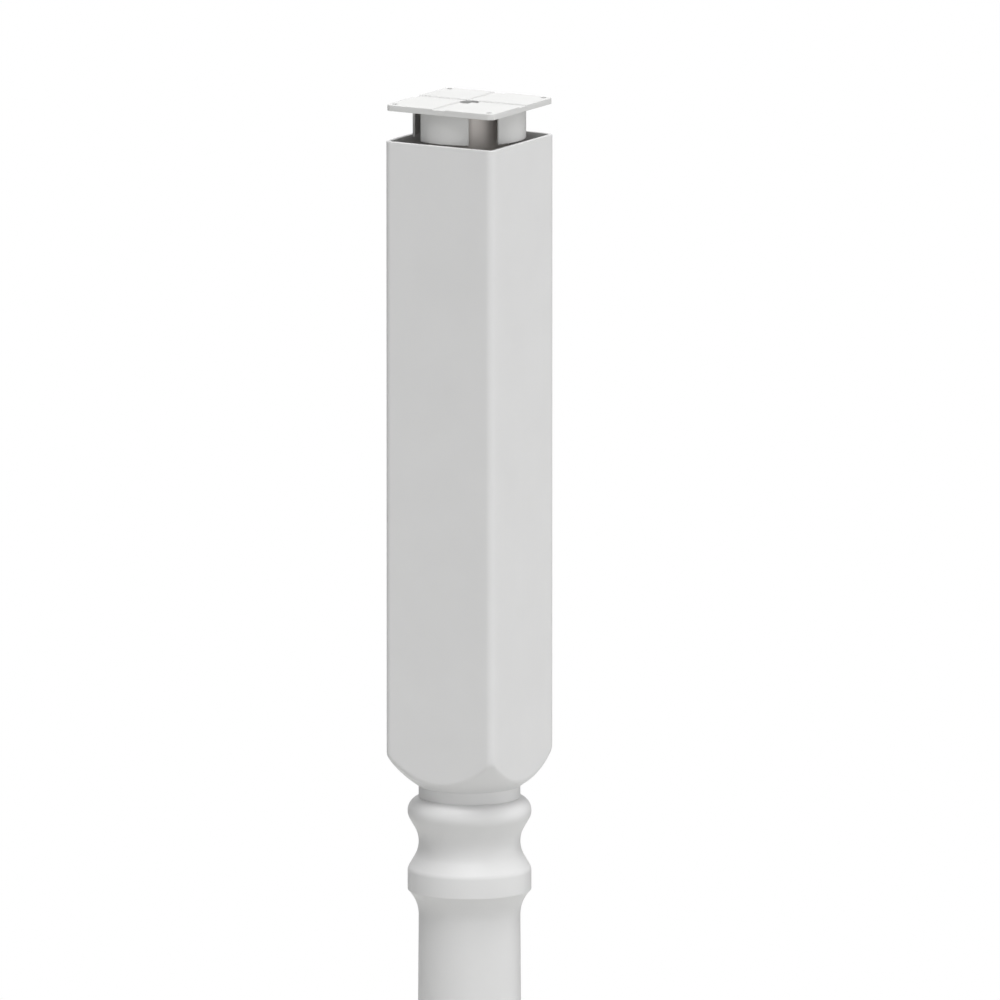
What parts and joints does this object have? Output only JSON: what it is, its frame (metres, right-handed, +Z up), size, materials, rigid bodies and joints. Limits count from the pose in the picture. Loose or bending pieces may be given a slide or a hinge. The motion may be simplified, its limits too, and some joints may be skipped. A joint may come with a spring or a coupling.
{
  "type": "turned porch post",
  "caption": "Hollow white vinyl turned porch post with square ends, round metal pipe inside it and a tabbed mounting plate on each end.",
  "frame": {"origin": "centre of the base plate's underside, on the ground", "axes": "+Z up the post; +X and +Y square to two faces of its blocks"},
  "size_m": [0.127, 0.127, 2.4824],
  "materials": {
    "sleeve_vinyl": "smooth satin white vinyl",
    "pipe_metal": "drawn, dull, unpolished",
    "plate_plastic": "moulded, satin white"
  },
  "bodies": {
    "root": {"post_sleeve": "sleeve_vinyl", "inner_pipe": "pipe_metal", "top_plate": "plate_plastic", "base_plate": "plate_plastic"}
  },
  "joints": []
}
